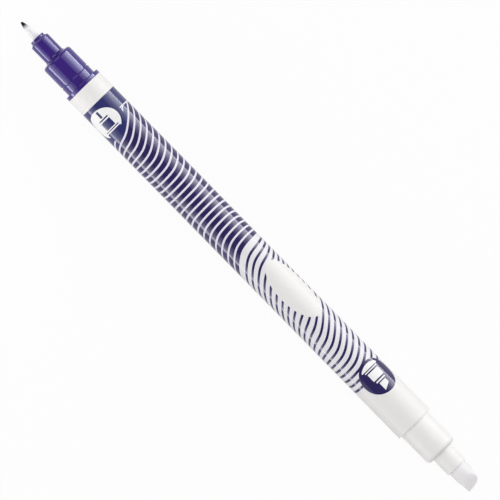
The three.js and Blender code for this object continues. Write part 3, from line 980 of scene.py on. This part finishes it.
class ERASERPEN_OT_fine_nib(Making, bpy.types.Operator):
    """Turns the fine fibre nib, from its writing point to its tail in the ink reservoir"""

    bl_idname = "eraser_pen.fine_nib"
    bl_label = "Fine nib"

    def execute(self, context):
        sizes = context.scene.pen_fine_nib
        low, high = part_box("rewriter_nib")
        radius = inside_frame(sizes.diameter)
        cone_end = low.x + sizes.cone_length
        tail_start = high.x - sizes.tail_length
        tip = sizes.tip_radius
        corners = (
            plain(quarter((low.x + tip, tip), (low.x, 0.0), 8)[::-1])
            + [(cone_end, inside_frame(sizes.cone_diameter), sizes.cone_foot)]
            + [(low.x + sizes.reach, radius, 0.0), (tail_start, radius, sizes.tail_rounding)]
            + [(high.x, radius / 3, FINE), (high.x, 0.0, 0.0)]
        )
        material = fibre_nib("fibre nib", sizes, context.scene.pen_colours, low.x)
        nib = ("rewriter_nib", "rewriter_fibre")
        turned_piece("fine_nib", corners, material, *nib, closed=False)
        return {"FINISHED"}


class ERASERPEN_OT_white_nose(Making, bpy.types.Operator):
    """Turns the white nose of the eraser end, with its shoulder, foot and spigot"""

    bl_idname = "eraser_pen.white_nose"
    bl_label = "White nose"

    def execute(self, context):
        sizes = context.scene.pen_white_end
        low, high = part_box("eraser_nose")
        radius = (high.z - low.z) / 2
        mouth = BARREL_HIGH.x
        foot = mouth - context.scene.pen_barrel.recess_depth
        hole = inside_frame(sizes.hole_diameter)
        cavity = inside_frame(sizes.cavity_diameter)
        cavity_end = high.x - sizes.front_wall
        shoulder = quarter((high.x - sizes.shoulder_length, radius), (high.x, hole + sizes.front_rim))
        spigot_sizes = context.scene.pen_navy_nose
        corners = (
            [(low.x, cavity, SOFT)]
            + plain(spigot(spigot_sizes, mouth, -1)[::-1])
            + [(foot, inside_frame(spigot_sizes.spigot_diameter), 0.0)]
            + [(foot, radius, sizes.foot_rounding)]
            + plain(shoulder)
            + [(high.x, hole, EASED), (cavity_end, hole, 0.0), (cavity_end, cavity, 0.0)]
        )
        material = satin_plastic("white plastic", context.scene.pen_colours)
        turned_piece("white_nose", corners, material, "eraser_nose", "white_plastic")
        return {"FINISHED"}


class ERASERPEN_OT_nib_sleeve(Making, bpy.types.Operator):
    """Turns the sleeve that grips the eraser nib, with its flange inside the nose"""

    bl_idname = "eraser_pen.nib_sleeve"
    bl_label = "Nib sleeve"

    def execute(self, context):
        sizes = context.scene.pen_white_end
        low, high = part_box("eraser_nib_sleeve")
        flange = (high.z - low.z) / 2
        radius = inside_frame(sizes.sleeve_diameter)
        bore = inside_frame(sizes.sleeve_bore)
        flange_back = low.x + sizes.tail_length
        flange_front = flange_back + sizes.flange_thickness
        corners = [
            (low.x, bore, 0.0),
            (low.x, radius, FINE),
            (flange_back, radius, 0.0),
            (flange_back, flange, FINE),
            (flange_front, flange, FINE),
            (flange_front, radius, 0.0),
            (high.x, radius, sizes.sleeve_rounding),
            (high.x, bore, SMOOTH),
        ]
        material = satin_plastic("sleeve plastic", context.scene.pen_colours)
        turned_piece("nib_sleeve", corners, material, "eraser_nib_sleeve", "white_plastic")
        return {"FINISHED"}


# The chisel's shape, from the round rod to the writing edge
CHISEL_STEPS = 36
CROWDING = 1.6  # how much the steps crowd together towards the writing edge
FLAT_ROOM = 1.2  # the flats start this far out, in shares of the rod's radius
FLAT_CURVE = 1.4  # how much the flats are bulged
SIDE_CURVE = 1.5  # how gently the sides are drawn in
SQUARENESS = 8.0  # of the outline's corners
EDGE_STEPS = 5
EDGE_RINGS = (0.7, 0.35)  # outlines inside the writing edge, in shares of its size


class ERASERPEN_OT_chisel_nib(Making, bpy.types.Operator):
    """Lofts the felt nib from a round rod to its slanted chisel end"""

    bl_idname = "eraser_pen.chisel_nib"
    bl_label = "Chisel nib"

    def execute(self, context):
        sizes = context.scene.pen_chisel_nib
        low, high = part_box("eraser_nib")
        radius = (high.z - low.z) / 2
        outlines = [
            circle(low.x, 0.0),
            circle(low.x, radius - sizes.tail_chamfer),
            circle(low.x + sizes.tail_chamfer, radius),
        ]
        for step in range(CHISEL_STEPS + 1):
            along = 1.0 - (1.0 - step / CHISEL_STEPS) ** CROWDING
            outlines.append(self.shaped(sizes, radius, high.x, along))
        edge = outlines[-1]
        for step in range(1, EDGE_STEPS + 1):
            turn = step / EDGE_STEPS * math.pi / 2
            outlines.append(self.softened(edge, sizes.softness, turn))
        for inner in EDGE_RINGS:
            outlines.append(self.softened(edge, sizes.softness, math.pi / 2, inner))
        outlines.append([sum(outlines[-1], Vector()) / SEGMENTS])
        mesh = bmesh.new()
        skin(mesh, outlines)
        material = pressed_felt("pressed felt", context.scene.pen_colours.felt)
        finished_piece("chisel_nib", mesh, material, "eraser_nib", "eraser_felt", FELT_SHARP_ANGLE)
        return {"FINISHED"}

    @staticmethod
    def shaped(sizes, radius, tip, along):
        """An outline of the shaped end, from the round rod, 0, to the writing edge, 1."""
        back = (1.0 - along) * sizes.shaped_length
        thickness = sizes.edge_thickness / 2
        half_z = thickness + (FLAT_ROOM * radius - thickness) * (1.0 - along**FLAT_CURVE)
        drawn_in = min(1.0, back / sizes.side_taper) ** SIDE_CURVE

        def half_width(side, corner):
            missing = corner - math.sqrt(max(0.0, corner**2 - (corner - min(back, corner)) ** 2))
            return side + (radius - side) * drawn_in - missing

        long_half = half_width(sizes.long_side, sizes.long_corner)
        short_half = half_width(sizes.short_side, sizes.short_corner)
        rod_end = tip - sizes.shaped_length
        points = []
        for turn in TURNS:
            up, aside = math.cos(turn), -math.sin(turn)
            half_y = short_half if aside > 0 else long_half
            sides = max(abs(aside) / half_y, 1.0 / radius) ** SQUARENESS
            reach = (sides + (abs(up) / half_z) ** SQUARENESS) ** (-1.0 / SQUARENESS)
            y, z = reach * aside, reach * up
            towards_short = (y + sizes.long_side) / (sizes.long_side + sizes.short_side)
            end = tip - sizes.softness - sizes.slant * min(1.0, max(0.0, towards_short))
            points.append(Vector((rod_end + (end - rod_end) * along, y, AXIS_HEIGHT + z)))
        return points

    @staticmethod
    def softened(edge, softness, turn, size=1.0):
        """The writing edge's outline, rolled over by this turn and drawn together to this size."""
        middle = sum(edge, Vector()) / len(edge)
        forward = Vector((softness * math.sin(turn), 0.0, 0.0))
        points = []
        for point in edge:
            out = point - middle
            scale = (1.0 - softness * (1.0 - math.cos(turn)) / math.hypot(out.y, out.z)) * size
            points.append(middle + out * scale + forward)
        return points


class ERASERPEN_OT_inner_parts(Making, bpy.types.Operator):
    """Gives the plug, the reservoirs and their films inside the barrel their materials"""

    bl_idname = "eraser_pen.inner_parts"
    bl_label = "Inner parts"

    def execute(self, context):
        colours = context.scene.pen_colours
        film = reservoir_film("reservoir film", colours.film)
        materials = {
            "centre_plug": matt_plastic("plug plastic", colours.plug),
            "ink_reservoir": pressed_felt("ink fibre", colours.reservoir_ink, 0.7),
            "ink_reservoir_film": film,
            "eraser_reservoir": pressed_felt("eraser fibre", colours.felt, 0.86),
            "eraser_reservoir_film": film,
        }
        for node, material in materials.items():
            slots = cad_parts[node].data.materials
            slots.clear()
            slots.append(material)
        return {"FINISHED"}


class ERASERPEN_OT_stage(Making, bpy.types.Operator):
    """Sets the floor, the lights and the camera"""

    bl_idname = "eraser_pen.stage"
    bl_label = "Stage"

    def execute(self, context):
        scene = context.scene
        scene.view_settings.view_transform = "Standard"
        self.make_floor(scene)
        self.make_world(scene)
        for softbox in SOFTBOXES:
            self.make_softbox(*softbox)
        stand = (NEAR_LAMP_TARGET, NEAR_LAMP_COMPASS, NEAR_LAMP_ABOVE, NEAR_LAMP_DISTANCE)
        self.make_lamp("near lamp", (NEAR_LAMP_SIZE, NEAR_LAMP_SIZE), NEAR_LAMP_RADIANCE, *stand)
        self.make_camera(scene)
        return {"FINISHED"}

    @staticmethod
    def make_floor(scene):
        finish = Finish("pale floor", Roughness=0.9, Specular_IOR_Level=0.0)
        path = finish.node("ShaderNodeLightPath").outputs
        seen = Value(finish, path["Is Camera Ray"]) + Value(finish, path["Is Glossy Ray"])
        seen = finish.clamped(seen + Value(finish, path["Is Transmission Ray"]))
        shade = finish.mixed(finish.noise(FLOOR_SPOTS), *FLOOR_SHADES)
        finish.set(Base_Color=finish.mixed(seen, shade, FLOOR_SEEN_SHADE))
        white = finish.node("ShaderNodeEmission", {}, {"Color": (1.0, 1.0, 1.0), "Strength": 1.0})
        sockets = {
            0: seen * FLOOR_GLOW,
            1: Value(finish, finish.shader.outputs[0]),
            2: Value(finish, white.outputs[0]),
        }
        both = finish.node("ShaderNodeMixShader", {}, sockets)
        output = next(one for one in finish.tree.nodes if one.type == "OUTPUT_MATERIAL")
        finish.tree.links.new(both.outputs[0], output.inputs["Surface"])
        mesh = bmesh.new()
        corners = ((-1, -1), (1, -1), (1, 1), (-1, 1))
        spots = [Vector((x * FLOOR_HALF, y * FLOOR_HALF, -FLOOR_DROP)) for x, y in corners]
        mesh.faces.new([mesh.verts.new(spot) for spot in spots])
        data = bpy.data.meshes.new("floor")
        mesh.to_mesh(data)
        mesh.free()
        data.materials.append(finish.material)
        floor = bpy.data.objects.new("floor", data)
        scene.collection.objects.link(floor)

    @staticmethod
    def make_world(scene):
        world = bpy.data.worlds.new("studio")
        world.use_nodes = True
        background = world.node_tree.nodes["Background"]
        background.inputs["Color"].default_value = (1.0, 1.0, 1.0, 1.0)
        background.inputs["Strength"].default_value = WORLD_LIGHT
        scene.world = world

    def make_softbox(self, name, compass, low, high, long, radiance):
        """A softbox that fills these angles above the floor as the pen sees it, from this compass angle."""
        compass, low, high = (math.radians(angle) for angle in (compass, low, high))
        height = 2 * SOFTBOX_DISTANCE * math.tan((high - low) / 2)
        stand = (Vector(), compass, (low + high) / 2, SOFTBOX_DISTANCE)
        self.make_lamp(name, (long, height), radiance, *stand)

    @staticmethod
    def make_lamp(name, size, radiance, target, compass, above, distance):
        """A rectangular lamp that faces its target from this direction and distance."""
        light = bpy.data.lights.new(name, "AREA")
        light.shape = "RECTANGLE"
        light.size, light.size_y = size
        light.energy = radiance * math.pi * light.size * light.size_y
        lamp = bpy.data.objects.new(name, light)
        level = Vector((math.cos(compass), math.sin(compass), 0.0)) * math.cos(above)
        direction = level + Vector((0.0, 0.0, math.sin(above)))
        lamp.location = target + direction * distance
        lamp.rotation_mode = "QUATERNION"
        lamp.rotation_quaternion = direction.to_track_quat("Z", "Y")
        lamp.visible_camera = False
        bpy.context.scene.collection.objects.link(lamp)

    @staticmethod
    def make_camera(scene):
        """A long lens straight above, rolled so that the pen lies across the picture as photographed."""
        lens = bpy.data.cameras.new("camera")
        lens.lens, lens.sensor_width = LENS, SENSOR
        camera = bpy.data.objects.new("camera", lens)
        right = Vector((math.cos(PEN_ANGLE), math.sin(PEN_ANGLE), 0.0))
        up = Vector((-math.sin(PEN_ANGLE), math.cos(PEN_ANGLE), 0.0))
        aside = (PHOTO_WIDTH / 2 - PEN_MIDDLE[0]) * METRES_PER_PIXEL
        above = (PEN_MIDDLE[1] - PHOTO_WIDTH / 2) * METRES_PER_PIXEL
        distance = PHOTO_WIDTH * METRES_PER_PIXEL * LENS / SENSOR
        camera.location = right * aside + up * above
        camera.location.z = AXIS_HEIGHT + distance
        camera.rotation_euler = (0.0, 0.0, PEN_ANGLE)
        lens.clip_start, lens.clip_end = 0.01, 50.0
        scene.collection.objects.link(camera)
        scene.camera = camera


GROUPS = {
    "pen_barrel": BarrelSizes,
    "pen_navy_nose": NavyNoseSizes,
    "pen_fine_nib": FineNibSizes,
    "pen_white_end": WhiteEndSizes,
    "pen_chisel_nib": ChiselNibSizes,
    "pen_print": PrintSettings,
    "pen_colours": PenColours,
}
OPERATORS = (
    ERASERPEN_OT_barrel,
    ERASERPEN_OT_navy_nose,
    ERASERPEN_OT_fine_nib,
    ERASERPEN_OT_white_nose,
    ERASERPEN_OT_nib_sleeve,
    ERASERPEN_OT_chisel_nib,
    ERASERPEN_OT_inner_parts,
    ERASERPEN_OT_stage,
)


class ERASERPEN_PT_pieces(bpy.types.Panel):
    """Lists the pen's pieces with their sizes and colours"""

    bl_label = "Ink eraser pen"
    bl_idname = "ERASERPEN_PT_pieces"
    bl_space_type = "VIEW_3D"
    bl_region_type = "UI"
    bl_category = "Eraser Pen"

    def draw(self, context):
        for operator in OPERATORS:
            self.layout.operator(operator.bl_idname)
        for name, group in GROUPS.items():
            box = self.layout.box()
            box.label(text=name.replace("pen_", "").replace("_", " ").capitalize())
            for setting in group.__annotations__:
                box.prop(getattr(context.scene, name), setting)


def register():
    for group in GROUPS.values():
        bpy.utils.register_class(group)
    for name, group in GROUPS.items():
        setattr(bpy.types.Scene, name, bpy.props.PointerProperty(type=group))
    for operator in OPERATORS:
        bpy.utils.register_class(operator)
    bpy.utils.register_class(ERASERPEN_PT_pieces)


def unregister():
    bpy.utils.unregister_class(ERASERPEN_PT_pieces)
    for operator in reversed(OPERATORS):
        bpy.utils.unregister_class(operator)
    for name, group in GROUPS.items():
        delattr(bpy.types.Scene, name)
        bpy.utils.unregister_class(group)


def main():
    """Builds the whole scene."""
    register()
    bpy.ops.eraser_pen.barrel()
    bpy.ops.eraser_pen.navy_nose()
    bpy.ops.eraser_pen.fine_nib()
    bpy.ops.eraser_pen.white_nose()
    bpy.ops.eraser_pen.nib_sleeve()
    bpy.ops.eraser_pen.chisel_nib()
    bpy.ops.eraser_pen.inner_parts()
    bpy.ops.eraser_pen.stage()


if __name__ == "__main__":
    main()
